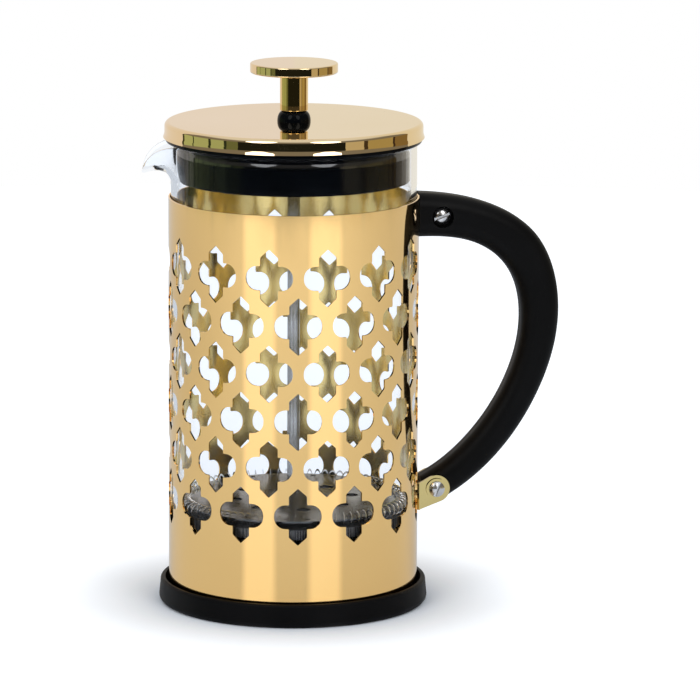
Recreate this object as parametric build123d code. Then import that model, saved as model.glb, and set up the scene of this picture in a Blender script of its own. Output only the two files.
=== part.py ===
from build123d import *
import os
from math import acos, cos, degrees, pi, radians, sin, sqrt

# French press with a pierced sheet sleeve, in millimetres. The origin is the centre of the underside
# of the tray, +Z is up, the handle points along +X and the pouring lip along -X.

# Beaker
beaker_od = 100.0
glass_wall = 2.2
glass_floor = 3.0
beaker_height = 186.3
beaker_foot_radius = 9.0
spout_reach = 12.0
spout_drop = 11.0
spout_depth = 18.0
spout_width = 34.0
spout_tip_width = 8.0
spout_waist = 0.62
spout_wall = 1.7

# Sleeve and its pierced pattern
glass_gap = 0.3
sleeve_wall = 0.7
sleeve_height = 164.0
hole_columns = 13
column_step = 26.6
pattern_turn = 2.4
hole_rows = 6
lowest_row_height = 41.7
row_pitch = 19.4
lobe_width = 19.3
lobe_height = 9.8
lobe_clip = 2.6
bar_width = 7.3
bar_height = 23.4
gable_height = 3.3

# Tray
tray_floor = 3.5
tray_height = 9.6
tray_gap = 1.5
tray_rim_wall = 2.75
tray_draft = 0.9
tray_foot_round = 2.2
tray_lip_round = 1.1
tray_pad_half_angle = 48.0
tray_turn = -5.0
pad_clearance = 0.05
seat_rise = 0.5
seat_width = 6.0

# Handle
handle_width = 16.0
handle_edge_round = 6.0
upper_screw_out = 9.4
upper_screw_below_top = 9.2
lower_screw_out = 7.4
lower_screw_height = 45.4
handle_end_clearance = 0.3

# Brackets on the sleeve
bracket_sheet = 1.3
tongue_thickness = 2.0
tongue_height = 12.0
ear_radius = 5.6
ear_thickness = 1.4
ear_base_drop = 3.2
ear_base_height = 11.0
bend_round = 1.2
recess_clearance = 0.3

# Fasteners
upper_screw_diameter = 4.0
upper_head_diameter = 8.0
upper_head_height = 2.4
upper_counterbore = 9.0
upper_counterbore_depth = 3.8
lower_screw_diameter = 3.5
lower_head_diameter = 6.4
lower_head_height = 1.8
washer_diameter = 8.7
washer_thickness = 0.8
nut_thickness = 2.8
nut_flats_ratio = 1.75
slot_width = 1.1
slot_depth = 1.2
head_side = 0.5
screw_end = 0.6
upper_slot_angle = 20.0
lower_slot_angle = 70.0
hole_clearance = 0.1
thread_clearance = 0.02

# Lid
cover_od = 105.5
cover_wall = 0.7
cover_height = 7.0
cover_edge_round = 1.3
flange_lip = 1.0
insert_deck = 2.2
insert_wall = 2.2
insert_clearance = 0.05
skirt_depth = 15.8
skirt_gap = 0.7
boss_diameter = 18.0
bush_diameter = 13.6
bush_height = 4.4
bush_top_diameter = 7.4
bush_neck_diameter = 9.2
bush_side_pull = 0.6
bush_crown_pull = 0.85
retainer_diameter = 15.0
retainer_height = 2.4

# Plunger
rod_diameter = 5.0
rod_running_clearance = 0.08
rod_fit = 0.02
stem_diameter = 11.4
stem_height = 15.4
stem_bore_depth = 11.0
spigot_diameter = 6.0
spigot_height = 2.2
knob_diameter = 35.6
knob_thickness = 4.0
knob_edge_bevel = 0.5

# Filter at the rod's end
filter_height = 42.0
spring_gap = 0.3
coil_radius = 2.4
wire_diameter = 0.8
wire_flats = 3
coil_turns = 30
spring_end_gap = 6.0
plate_thickness = 0.8
plate_edge_gap = 0.8
wire_slot = 2.0
flow_holes = 8
flow_hole_diameter = 6.0
collar_diameter = 12.0
collar_height = 6.0
mesh_thickness = 0.35
mesh_clearance = 0.25
mesh_skirt = 4.0
cross_diameter = 70.0
cross_thickness = 1.0
cross_arm_width = 9.0
cross_rim_width = 6.0
cross_hub_diameter = 20.0
filter_nut_height = 4.0
filter_nut_diameter = 10.0

# Levels and radii that follow from the sizes above
beaker_r = beaker_od / 2
bore_r = beaker_r - glass_wall
sleeve_ir = beaker_r + glass_gap
sleeve_r = sleeve_ir + sleeve_wall
sleeve_top = tray_floor + sleeve_height
tray_inner_r = sleeve_r + tray_gap
tray_r = tray_inner_r + tray_rim_wall
seat_z = tray_floor + seat_rise
seat_r = beaker_r - beaker_foot_radius
rim_z = seat_z + beaker_height
cover_r = cover_od / 2
cover_bottom = rim_z + flange_lip
cover_top = cover_bottom + cover_height
cover_inside = cover_top - cover_wall
bush_top = cover_top + bush_height
rod_r = rod_diameter / 2
stem_top = bush_top + stem_height
rod_top = bush_top + stem_bore_depth
wire_r = wire_diameter / 2
spring_r = bore_r - spring_gap - wire_r - coil_radius
plate_bottom = filter_height - plate_thickness / 2
plate_top = filter_height + plate_thickness / 2
mesh_bottom = plate_bottom - mesh_thickness
cross_bottom = mesh_bottom - cross_thickness
rod_bottom = cross_bottom - filter_nut_height - screw_end
upper_x = sleeve_r + upper_screw_out
upper_z = sleeve_top - upper_screw_below_top
lower_x = sleeve_r + lower_screw_out
lower_z = lower_screw_height
half_width = handle_width / 2
ear_inner_y = half_width - ear_thickness


def ring(outer, inner, low, high):
    """A plain tube about the Z axis."""
    tube = Pos(0, 0, low) * Cylinder(outer, high - low, align=(Align.CENTER, Align.CENTER, Align.MIN))
    if inner <= 0:
        return tube
    bore = Cylinder(inner, high - low, align=(Align.CENTER, Align.CENTER, Align.MIN))
    return tube - Pos(0, 0, low) * bore


def turned(outline):
    """A closed outline in the XZ plane turned about the Z axis."""
    return revolve(Plane.XZ * make_face(outline), Axis.Z)


def pin(x, z, radius, low, high):
    """A round bar along Y through (x, z)."""
    bar = Cylinder(radius, high - low, align=(Align.CENTER, Align.CENTER, Align.MIN))
    return Pos(x, low, z) * Rot(-90, 0, 0) * bar


def hexagon_nut(x, z, shank, low, thickness):
    """A hexagon nut along Y round a shank."""
    across = shank * nut_flats_ratio
    body = extrude(RegularPolygon(across / 2, 6, major_radius=False), thickness)
    nut = Pos(x, low, z) * Rot(-90, 0, 0) * body
    return nut - pin(x, z, shank / 2 + thread_clearance, low, low + thickness)


def slotted_screw(x, z, shank, head, head_height, seat, end, slot_angle):
    """A slotted round-head screw whose head lies on the near side of its seat."""
    top = (0, head_height)
    edge = (head / 2, head_side)
    crown = TangentArc(top, edge, tangent=(1, 0))
    dome = turned(crown + Polyline(edge, (head / 2, 0), (0, 0), top))
    slot = Rot(0, 0, slot_angle) * Box(2 * head, slot_width, 2 * slot_depth)
    cut_head = dome - Pos(0, 0, head_height) * slot
    return Pos(x, seat, z) * Rot(90, 0, 0) * cut_head + pin(x, z, shank / 2, seat, end)


# Sleeve: a rolled sheet with staggered quatrefoil crosses
def hole_outline():
    """A cross with gabled ends above and below, and lobes with clipped corners at its sides."""
    lobes = chamfer(Rectangle(lobe_width, lobe_height).vertices(), lobe_clip)
    shoulder = bar_height / 2 - gable_height
    bar = Polyline(
        (bar_width / 2, -shoulder),
        (bar_width / 2, shoulder),
        (0, bar_height / 2),
        (-bar_width / 2, shoulder),
        (-bar_width / 2, -shoulder),
        (0, -bar_height / 2),
        close=True,
    )
    return lobes + make_face(bar)


def make_sleeve():
    tube = ring(sleeve_r, sleeve_ir, tray_floor, sleeve_top)
    punch = Pos(sleeve_ir - sleeve_wall, 0, 0) * extrude(Plane.YZ * hole_outline(), 3 * sleeve_wall)
    cutters = []
    for row in range(hole_rows):
        count = hole_columns - row % 2
        first = 180 + pattern_turn - column_step * (count - 1) / 2
        level = tray_floor + lowest_row_height + row * row_pitch
        for column in range(count):
            cutters.append(Rot(0, 0, first + column * column_step) * Pos(0, 0, level) * punch)
    return tube - cutters


# Tray: floor, seat ring for the glass, drafted rim and two pads that grip the sleeve
def make_tray():
    rim = Polyline(
        (0, 0),
        (tray_r, 0),
        (tray_r - tray_draft, tray_height),
        (tray_inner_r, tray_height),
        (tray_inner_r, tray_floor),
        (0, tray_floor),
        close=True,
    )
    tray = turned(rim)
    rounds = tray.edges().filter_by(GeomType.CIRCLE).sort_by(SortBy.RADIUS)[-2:].sort_by(Axis.Z)
    tray = fillet(rounds[0], tray_foot_round)
    lip = tray.edges().filter_by(GeomType.CIRCLE).group_by(Axis.Z)[-1].sort_by(SortBy.RADIUS)[-1]
    tray = fillet(lip, tray_lip_round)
    tray += ring(seat_r, seat_r - seat_width, tray_floor, seat_z)
    pad_width = tray_gap + tray_rim_wall / 2
    pad_height = tray_height - tray_floor - tray_lip_round / 2
    pad = Rectangle(pad_width, pad_height, align=(Align.MIN, Align.MIN))
    pad = Plane.XZ * Pos(sleeve_r + pad_clearance, tray_floor) * pad
    for side in (-90, 90):
        start = side + tray_turn - tray_pad_half_angle
        tray += Rot(0, 0, start) * revolve(pad, Axis.Z, 2 * tray_pad_half_angle)
    return tray


# Handle: a D grip between two flowing edges, its ends shaped to the brackets
def handle_point(out, share):
    """A point of the handle's outline, out from the sleeve and up between the two screws."""
    return (sleeve_r + out, lower_z + share * (upper_z - lower_z))


def make_handle():
    outer = Spline(
        handle_point(-8.0, 1.088),
        handle_point(9.5, 1.080),
        handle_point(29.5, 1.039),
        handle_point(48.0, 0.938),
        handle_point(59.1, 0.653),
        handle_point(51.0, 0.347),
        handle_point(33.1, 0.108),
        handle_point(16.5, -0.016),
        handle_point(-6.0, -0.104),
    )
    inner = Spline(
        handle_point(-6.0, 0.012),
        handle_point(9.6, 0.082),
        handle_point(23.0, 0.189),
        handle_point(36.9, 0.376),
        handle_point(43.5, 0.627),
        handle_point(38.5, 0.793),
        handle_point(24.1, 0.896),
        handle_point(10.6, 0.922),
        handle_point(-8.0, 0.922),
    )
    ends = Line(outer @ 1, inner @ 0) + Line(inner @ 1, outer @ 0)
    face = Plane.XZ * make_face(outer + inner + ends)
    grip = extrude(face, half_width, both=True)
    sides = grip.edges().filter_by(lambda e: abs(abs(e.center().Y) - half_width) < 0.01)
    sides = sides.filter_by(GeomType.BSPLINE)
    grip = fillet(sides, handle_edge_round)
    grip -= ring(sleeve_r + handle_end_clearance, 0, 0, 2 * sleeve_top)
    far = handle_width
    # Upper end: pocket for the bracket's foot, slot for its tongue, screw hole and two counterbores
    pocket_r = sleeve_r + bracket_sheet + recess_clearance
    pocket = tongue_height + 2 * recess_clearance
    foot = ring(pocket_r, 0, upper_z - pocket / 2, upper_z + pocket / 2)
    grip -= foot & Box(4 * sleeve_r, pocket, 4 * sleeve_top)
    slot_length = upper_screw_out + pocket / 2
    grip -= Pos(sleeve_r, 0, upper_z) * Box(
        slot_length, tongue_thickness + hole_clearance, pocket, align=(Align.MIN, Align.CENTER, Align.CENTER)
    )
    grip -= pin(upper_x, upper_z, upper_screw_diameter / 2 + hole_clearance, -far, far)
    step_y = half_width - upper_counterbore_depth
    grip -= pin(upper_x, upper_z, upper_counterbore / 2, -far, -step_y)
    grip -= pin(upper_x, upper_z, upper_counterbore / 2, step_y, far)
    # Lower end: recesses that take the ears, screw hole and room for the clevis foot
    for side in (-1, 1):
        recess = extrude(Plane.XZ * ear_outline(recess_clearance), 2 * half_width)
        edge = ear_inner_y - recess_clearance / 2
        grip -= Pos(0, edge + 2 * half_width if side > 0 else -edge, 0) * recess
    grip -= pin(lower_x, lower_z, lower_screw_diameter / 2 + hole_clearance, -far, far)
    grip -= ring(pocket_r, 0, lower_z - handle_width, lower_z + handle_width)
    return grip


# Brackets: a foot rolled to the sleeve, with a tongue above and a clevis below
def foot_plate(width, low, high):
    return ring(sleeve_r + bracket_sheet, sleeve_r, low, high) & Pos(sleeve_r, 0, 0) * Box(
        sleeve_r, width, 4 * high
    )


def make_upper_bracket():
    foot = foot_plate(tongue_height, upper_z - tongue_height / 2, upper_z + tongue_height / 2)
    length = upper_screw_out + tongue_height / 2 - bracket_sheet / 2
    tongue = Pos(sleeve_r + bracket_sheet / 2, 0, upper_z) * Box(
        length, tongue_thickness, tongue_height, align=(Align.MIN, Align.CENTER, Align.CENTER)
    )
    hole = pin(upper_x, upper_z, upper_screw_diameter / 2 + hole_clearance, -half_width, half_width)
    return foot + tongue - hole


def ear_outline(margin):
    """A tapered ear, round about the screw and straight against the sleeve, grown by a margin."""
    centre = Vector(lower_x, lower_z)
    radius = ear_radius + margin
    high = Vector(sleeve_r, lower_z - ear_base_drop + ear_base_height / 2 + margin)
    low = Vector(sleeve_r, lower_z - ear_base_drop - ear_base_height / 2 - margin)

    def touch(point, side):
        """Where the straight edge from a base corner meets the round end."""
        away = point - centre
        turn = side * degrees(acos(radius / away.length))
        return centre + away.normalized().rotate(Axis.Z, turn) * radius

    top = touch(high, -1)
    bottom = touch(low, 1)
    tip = centre + (centre - (high + low) / 2).normalized() * radius
    edges = Line(high, top) + ThreePointArc(top, tip, bottom) + Line(bottom, low) + Line(low, high)
    return make_face(edges)


def make_lower_bracket():
    low = lower_z - ear_base_drop - ear_base_height / 2
    foot = foot_plate(handle_width, low, low + ear_base_height)
    ear = extrude(Plane.XZ * ear_outline(0), ear_thickness)
    ears = Pos(0, half_width, 0) * ear + Pos(0, -ear_inner_y, 0) * ear
    ears -= Cylinder(sleeve_r, 4 * lower_z)
    hole = pin(lower_x, lower_z, lower_screw_diameter / 2 + hole_clearance, -handle_width, handle_width)
    clevis = foot + ears - hole
    bend_x = sqrt(sleeve_r ** 2 - half_width ** 2) + bend_round
    for side in (-1, 1):
        corner = Pos(bend_x - bend_round, side * half_width, lower_z) * Box(
            2 * bend_round, 2 * bend_round, lower_z
        )
        bend = Pos(bend_x, side * (half_width - bend_round), lower_z) * Cylinder(bend_round, lower_z)
        clevis -= corner - bend
    return clevis


# Beaker: a turned glass wall with a pouring lip drawn out of its rim
def trough(x, bottom, width, top):
    """One cross section of the pouring lip, an arc below a straight top."""
    arc = ThreePointArc((-width / 2, top), (0, bottom), (width / 2, top))
    return Plane(origin=(-x, 0, 0), x_dir=(0, -1, 0), z_dir=(-1, 0, 0)) * make_face(
        arc + Line((width / 2, top), (-width / 2, top))
    )


def spout_body(inset):
    """The drawn-out lip as a solid, smaller all round by an inset."""
    top = rim_z + spout_drop
    lowest = rim_z - spout_depth - spout_reach / 3 + inset
    waist_low = rim_z - spout_drop - spout_reach / 6 + inset
    tip_low = rim_z - spout_drop - spout_wall / 2 + inset
    root = trough(bore_r - spout_reach / 3, lowest, spout_width - 2 * inset, top)
    waist = trough(beaker_r + spout_reach / 4, waist_low, spout_width * spout_waist - 2 * inset, top)
    tip = trough(beaker_r + spout_reach + inset, tip_low, spout_tip_width + spout_wall - inset, top)
    return loft([root, waist, tip])


def make_beaker():
    outer = ring(beaker_r, 0, seat_z, rim_z)
    outer = fillet(outer.edges().group_by(Axis.Z)[0], beaker_foot_radius)
    inner = ring(bore_r, 0, seat_z + glass_floor, rim_z + spout_drop)
    inner = fillet(inner.edges().group_by(Axis.Z)[0], beaker_foot_radius - glass_wall)
    glass = outer + spout_body(0) - inner - spout_body(spout_wall)
    above = 3 * spout_drop
    tip_x = -beaker_r - spout_reach
    start_x = -beaker_r + glass_wall * 2
    fall = EllipticalCenterArc(
        (start_x, rim_z - spout_drop), start_x - tip_x, spout_drop, start_angle=90, arc_size=90
    )
    cut = fall + Polyline(
        (tip_x, rim_z - spout_drop),
        (2 * tip_x, rim_z - spout_drop),
        (2 * tip_x, rim_z + above),
        (-2 * tip_x, rim_z + above),
        (-2 * tip_x, rim_z),
        (start_x, rim_z),
    )
    return glass - extrude(Plane.XZ * make_face(cut), beaker_od, both=True)


# Lid: a spun cap over a moulded insert, with the rod's bush held by a ring below
def make_cover():
    cap = ring(cover_r, 0, cover_bottom, cover_top)
    cap = fillet(cap.edges().group_by(Axis.Z)[-1], cover_edge_round)
    hollow = ring(cover_r - cover_wall, 0, cover_bottom, cover_inside)
    hollow = chamfer(hollow.edges().group_by(Axis.Z)[-1], cover_edge_round - cover_wall)
    bore = ring(bush_neck_diameter / 2 + hole_clearance, 0, cover_bottom, cover_top)
    return cap - hollow - bore


def make_insert():
    flange_r = cover_r - cover_wall - insert_clearance
    deck_top = rim_z + insert_deck
    skirt_r = bore_r - skirt_gap
    ring_r = flange_r - cover_edge_round
    deck = ring(flange_r, 0, rim_z, deck_top)
    skirt = ring(skirt_r, skirt_r - insert_wall, rim_z - skirt_depth, rim_z)
    wall = ring(ring_r, ring_r - insert_wall, deck_top, cover_inside)
    boss = ring(boss_diameter / 2, 0, deck_top, cover_inside)
    bore = ring(bush_neck_diameter / 2 + hole_clearance, 0, rim_z, cover_inside)
    return deck + skirt + wall + boss - bore


def make_bush():
    foot = rim_z - retainer_height
    bore = rod_r + rod_running_clearance
    neck = bush_neck_diameter / 2
    foot_r = bush_diameter / 2
    crown = (bush_top_diameter / 2, bush_top)
    side = Bezier(
        (foot_r, cover_top),
        (foot_r, cover_top + bush_height * bush_side_pull),
        (foot_r * bush_crown_pull, bush_top),
        crown,
    )
    rest = Polyline(
        crown,
        (bore, bush_top),
        (bore, foot),
        (neck, foot),
        (neck, cover_top),
        (foot_r, cover_top),
    )
    return turned(side + rest)


def make_retainer():
    bore = bush_neck_diameter / 2 + thread_clearance
    return ring(retainer_diameter / 2, bore, rim_z - retainer_height, rim_z)


# Plunger: rod, knob and the clamped filter stack
def make_rod():
    return ring(rod_r, 0, rod_bottom, rod_top)


def make_stem():
    stem = ring(stem_diameter / 2, 0, bush_top, stem_top)
    spigot = ring(spigot_diameter / 2, 0, stem_top, stem_top + spigot_height)
    return stem + spigot - ring(rod_r + rod_fit, 0, bush_top, rod_top)


def make_knob():
    disc = ring(knob_diameter / 2, 0, stem_top, stem_top + knob_thickness)
    disc = chamfer(disc.edges(), knob_edge_bevel)
    return disc - ring(spigot_diameter / 2 + rod_fit, 0, stem_top, stem_top + spigot_height)


def make_collar():
    return ring(collar_diameter / 2, rod_r + rod_fit, plate_top, plate_top + collar_height)


def make_spring_plate():
    plate_r = spring_r + coil_radius - wire_r - plate_edge_gap
    plate = ring(plate_r, rod_r + rod_fit, plate_bottom, plate_top)
    slot = Pos(spring_r - coil_radius, 0, filter_height) * Box(wire_slot, wire_slot, 2 * plate_thickness)
    cutters = []
    for turn in range(coil_turns):
        cutters.append(Rot(0, 0, coil_bearing(turn + 0.5)) * slot)
    flow_r = (collar_diameter / 2 + spring_r - coil_radius) / 2
    flow = Pos(flow_r, 0, filter_height) * Cylinder(flow_hole_diameter / 2, 2 * plate_thickness)
    for hole in range(flow_holes):
        cutters.append(Rot(0, 0, hole * 360 / flow_holes) * flow)
    return plate - cutters


def coil_bearing(turn):
    """The bearing of a turn of the spring round the plate, in degrees."""
    opening = degrees(spring_end_gap / spring_r)
    return opening / 2 + (360 - opening) * turn / coil_turns


def coil_point(turn):
    """A point on the spring's centre line and the direction of the wire there."""
    rate = radians(coil_bearing(1) - coil_bearing(0))
    bearing = radians(coil_bearing(turn))
    curl = 2 * pi * turn
    reach = spring_r + coil_radius * cos(curl)
    outward = Vector(cos(bearing), sin(bearing), 0)
    along = Vector(-sin(bearing), cos(bearing), 0)
    place = outward * reach + Vector(0, 0, filter_height + coil_radius * sin(curl))
    rise = Vector(0, 0, 2 * pi * coil_radius * cos(curl)) - outward * (2 * pi * coil_radius * sin(curl))
    return place, (rise + along * (reach * rate)).normalized()


def biarc(start, start_way, end, end_way):
    """Two arcs that leave and arrive along the given directions."""
    chord = end - start
    ways = start_way + end_way
    spread = 2 * (1 - start_way.dot(end_way))
    pull = chord.dot(ways)
    reach = (sqrt(pull * pull + spread * chord.dot(chord)) - pull) / spread
    near = start + start_way * reach
    far = end - end_way * reach
    join = (near + far) / 2
    return [TangentArc(start, join, tangent=start_way), TangentArc(join, end, tangent=far - near)]


def make_spring():
    arcs = []
    for half in range(2 * coil_turns):
        start, start_way = coil_point(half / 2)
        end, end_way = coil_point(half / 2 + 0.5)
        arcs += biarc(start, start_way, end, end_way)
    path = Wire(arcs)
    place, way = coil_point(0)
    section = Plane(origin=place, z_dir=way) * RegularPolygon(wire_r, wire_flats)
    return sweep(section, path=path, clean=False)


def spring_self_gap(samples_per_turn=16):
    """The least clear distance between neighbouring turns of the wire."""
    points = []
    for sample in range(coil_turns * samples_per_turn + 1):
        points.append(coil_point(sample / samples_per_turn)[0])
    least = spring_r
    for first in range(len(points)):
        for second in range(first + samples_per_turn // 2, len(points)):
            least = min(least, (points[second] - points[first]).length)
    return least - wire_diameter


def make_mesh():
    flat_r = cross_diameter / 2 + cross_thickness
    drop = filter_height - coil_radius - wire_r - mesh_clearance
    edge_r = spring_r + coil_radius
    inner_r = spring_r - coil_radius - wire_slot / 2
    bore = rod_r + rod_fit
    outline = Polyline(
        (bore, plate_bottom),
        (flat_r, plate_bottom),
        (inner_r, drop),
        (edge_r, drop),
        (edge_r, drop - mesh_skirt),
        (edge_r - mesh_thickness, drop - mesh_skirt),
        (edge_r - mesh_thickness, drop - mesh_thickness),
        (inner_r - mesh_thickness, drop - mesh_thickness),
        (flat_r - mesh_thickness, mesh_bottom),
        (bore, mesh_bottom),
        close=True,
    )
    return turned(outline)


def make_cross():
    rim = ring(cross_diameter / 2, cross_diameter / 2 - cross_rim_width, cross_bottom, mesh_bottom)
    hub = ring(cross_hub_diameter / 2, 0, cross_bottom, mesh_bottom)
    arm = Box(cross_diameter - cross_rim_width, cross_arm_width, cross_thickness)
    arm = Pos(0, 0, (cross_bottom + mesh_bottom) / 2) * arm
    bore = ring(rod_r + rod_fit, 0, cross_bottom, mesh_bottom)
    return rim + hub + arm + Rot(0, 0, 90) * arm - bore


def make_filter_nut():
    low = cross_bottom - filter_nut_height
    body = Pos(0, 0, low) * extrude(RegularPolygon(filter_nut_diameter / 2, 6), filter_nut_height)
    return body - ring(rod_r + rod_fit, 0, low, cross_bottom)


step_y = half_width - upper_counterbore_depth
lower_seat = half_width + washer_thickness
parts = {
    "sleeve": make_sleeve(),
    "base_tray": make_tray(),
    "handle": make_handle(),
    "upper_bracket": make_upper_bracket(),
    "lower_bracket": make_lower_bracket(),
    "upper_screw": slotted_screw(
        upper_x, upper_z, upper_screw_diameter, upper_head_diameter, upper_head_height, -step_y,
        step_y + nut_thickness + screw_end / 2, upper_slot_angle
    ),
    "upper_nut": hexagon_nut(upper_x, upper_z, upper_screw_diameter, step_y, nut_thickness),
    "lower_screw": slotted_screw(
        lower_x, lower_z, lower_screw_diameter, lower_head_diameter, lower_head_height, -lower_seat,
        half_width + nut_thickness + screw_end, lower_slot_angle
    ),
    "lower_washer": pin(lower_x, lower_z, washer_diameter / 2, -lower_seat, -half_width)
    - pin(lower_x, lower_z, lower_screw_diameter / 2 + hole_clearance, -lower_seat, -half_width),
    "lower_nut": hexagon_nut(lower_x, lower_z, lower_screw_diameter, half_width, nut_thickness),
    "beaker": make_beaker(),
    "lid_cover": make_cover(),
    "lid_insert": make_insert(),
    "lid_bush": make_bush(),
    "bush_retainer": make_retainer(),
    "plunger_rod": make_rod(),
    "knob_stem": make_stem(),
    "knob_disc": make_knob(),
    "rod_collar": make_collar(),
    "spring_plate": make_spring_plate(),
    "filter_spring": make_spring(),
    "mesh_screen": make_mesh(),
    "cross_plate": make_cross(),
    "filter_nut": make_filter_nut(),
}

print("least gap between turns of the spring:", round(spring_self_gap(), 3), "mm")
os.makedirs("parts", exist_ok=True)
for name, solid in parts.items():
    export_step(solid, f"parts/{name}.step")
    print(name, round(solid.volume, 2))
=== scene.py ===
import math

import bmesh
import bpy
from mathutils import Matrix, Quaternion, Vector


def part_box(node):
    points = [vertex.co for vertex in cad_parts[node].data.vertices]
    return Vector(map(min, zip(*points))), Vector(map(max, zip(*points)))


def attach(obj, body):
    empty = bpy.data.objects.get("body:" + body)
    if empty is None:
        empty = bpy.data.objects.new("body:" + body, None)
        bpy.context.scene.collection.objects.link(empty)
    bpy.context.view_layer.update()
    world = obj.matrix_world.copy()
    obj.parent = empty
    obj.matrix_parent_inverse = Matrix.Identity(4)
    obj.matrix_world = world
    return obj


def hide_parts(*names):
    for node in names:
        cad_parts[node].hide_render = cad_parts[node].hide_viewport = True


# The looks of a french press with a pierced gold sleeve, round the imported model. Lengths are in metres.
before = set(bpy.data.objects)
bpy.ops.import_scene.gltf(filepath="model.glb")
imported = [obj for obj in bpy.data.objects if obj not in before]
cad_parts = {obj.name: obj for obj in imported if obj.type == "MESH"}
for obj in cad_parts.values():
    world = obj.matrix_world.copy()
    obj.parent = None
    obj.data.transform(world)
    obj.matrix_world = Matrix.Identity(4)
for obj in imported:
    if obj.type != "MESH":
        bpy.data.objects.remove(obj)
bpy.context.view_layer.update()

MM = 0.001
TURN = 2 * math.pi
ROUND_STEPS = 160
CORNER_STEPS = 6


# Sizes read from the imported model
def round_size(node):
    """Outer radius, bottom and top of a node that is round about Z."""
    low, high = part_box(node)
    return high.x, low.z, high.z


SLEEVE_R, SLEEVE_BOTTOM, SLEEVE_TOP = round_size("sleeve")
BEAKER_R, BEAKER_BOTTOM, RIM = round_size("beaker")
TRAY_R = round_size("base_tray")[0]
COVER_R, COVER_BOTTOM, COVER_TOP = round_size("lid_cover")
FLANGE_R, SKIRT_BOTTOM = round_size("lid_insert")[:2]
STEM_R, STEM_BOTTOM = round_size("knob_stem")[:2]
KNOB_R, KNOB_BOTTOM, KNOB_TOP = round_size("knob_disc")
ROD_R, ROD_BOTTOM, ROD_TOP = round_size("plunger_rod")
PLATE_BOTTOM, PLATE_TOP = round_size("spring_plate")[1:]
SPOUT_TIP = -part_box("beaker")[0].x


# Node trees
def link(tree, source, target):
    tree.links.new(source, target)


def add_node(tree, kind, **settings):
    node = tree.nodes.new(kind)
    for name, value in settings.items():
        setattr(node, name, value)
    return node


def set_inputs(node, **values):
    for name, value in values.items():
        node.inputs[name.replace("_", " ")].default_value = value


def new_group(name, inputs, outputs):
    """A shader node group with named sockets: its tree, its input node and its output node."""
    group = bpy.data.node_groups.new(name, "ShaderNodeTree")
    for label, value in inputs.items():
        socket = group.interface.new_socket(label, in_out="INPUT", socket_type="NodeSocketFloat")
        socket.default_value = value
    for label in outputs:
        group.interface.new_socket(label, in_out="OUTPUT", socket_type="NodeSocketFloat")
    return group, group.nodes.new("NodeGroupInput"), group.nodes.new("NodeGroupOutput")


def object_noise(tree, scale, detail, stretch=(1, 1, 1)):
    """Noise on Object coordinates; scale is a number or a socket."""
    place = add_node(tree, "ShaderNodeTexCoord")
    mapping = add_node(tree, "ShaderNodeMapping")
    mapping.inputs["Scale"].default_value = stretch
    noise = add_node(tree, "ShaderNodeTexNoise")
    link(tree, place.outputs["Object"], mapping.inputs["Vector"])
    link(tree, mapping.outputs["Vector"], noise.inputs["Vector"])
    noise.inputs["Detail"].default_value = detail
    if isinstance(scale, (int, float)):
        noise.inputs["Scale"].default_value = scale
    else:
        link(tree, scale, noise.inputs["Scale"])
    return noise.outputs["Fac"]


def remap(tree, value, low, high, to_low, to_high):
    node = add_node(tree, "ShaderNodeMapRange")
    link(tree, value, node.inputs["Value"])
    set_inputs(node, From_Min=low, From_Max=high, To_Min=to_low, To_Max=to_high)
    return node.outputs["Result"]


def calculate(tree, operation, *values):
    """A Math node; each value is a number or a socket."""
    node = add_node(tree, "ShaderNodeMath", operation=operation)
    for socket, value in zip(node.inputs, values):
        if isinstance(value, (int, float)):
            socket.default_value = value
        else:
            link(tree, value, socket)
    return node.outputs["Value"]


# The part of a noise that is spread out to the full range from 0 to 1
CLOUD_RANGE = (0.35, 0.65)
SMEAR_RANGE = (0.42, 0.72)
PATCH_RANGE = (0.35, 0.6)
SMEAR_STRETCH = (1, 1, 0.45)
RUBBED_TURN = (0.98, 0.85)
LEAST_RUBBED = 0.2


def make_handling_group():
    """Faint clouds and finger smears: a tone and a gloss mask."""
    group, given, out = new_group("handling", {"Scale": 18.0, "Smear": 90.0}, ["Tone", "Smear"])
    clouds = object_noise(group, given.outputs["Scale"], 3)
    smears = object_noise(group, given.outputs["Smear"], 5, SMEAR_STRETCH)
    link(group, remap(group, clouds, *CLOUD_RANGE, 0, 1), out.inputs["Tone"])
    link(group, remap(group, smears, *SMEAR_RANGE, 0, 1), out.inputs["Smear"])
    return group


def make_grain_group():
    """The fine grain of moulded plastic: a height and a tone."""
    group, given, out = new_group("moulded_grain", {"Grain": 2600.0, "Cloud": 40.0}, ["Height", "Tone"])
    grain = object_noise(group, given.outputs["Grain"], 2)
    cloud = object_noise(group, given.outputs["Cloud"], 3)
    link(group, grain, out.inputs["Height"])
    link(group, remap(group, cloud, *CLOUD_RANGE, 0, 1), out.inputs["Tone"])
    return group


def make_wear_group():
    """A mask of edges that hands and cloths have rubbed, as wide as the given reach."""
    group, given, out = new_group("rubbed_edges", {"Reach": 0.5 * MM, "Patches": 160.0}, ["Mask"])
    shape = add_node(group, "ShaderNodeNewGeometry")
    eased = add_node(group, "ShaderNodeBevel", samples=4)
    link(group, given.outputs["Reach"], eased.inputs["Radius"])
    facing = add_node(group, "ShaderNodeVectorMath", operation="DOT_PRODUCT")
    link(group, shape.outputs["Normal"], facing.inputs[0])
    link(group, eased.outputs["Normal"], facing.inputs[1])
    edge = remap(group, facing.outputs["Value"], *RUBBED_TURN, 0, 1)
    rubs = object_noise(group, given.outputs["Patches"], 4)
    patches = remap(group, rubs, *PATCH_RANGE, LEAST_RUBBED, 1)
    link(group, calculate(group, "MULTIPLY", edge, patches), out.inputs["Mask"])
    return group


HANDLING = make_handling_group()
GRAIN = make_grain_group()
WEAR = make_wear_group()


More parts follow.
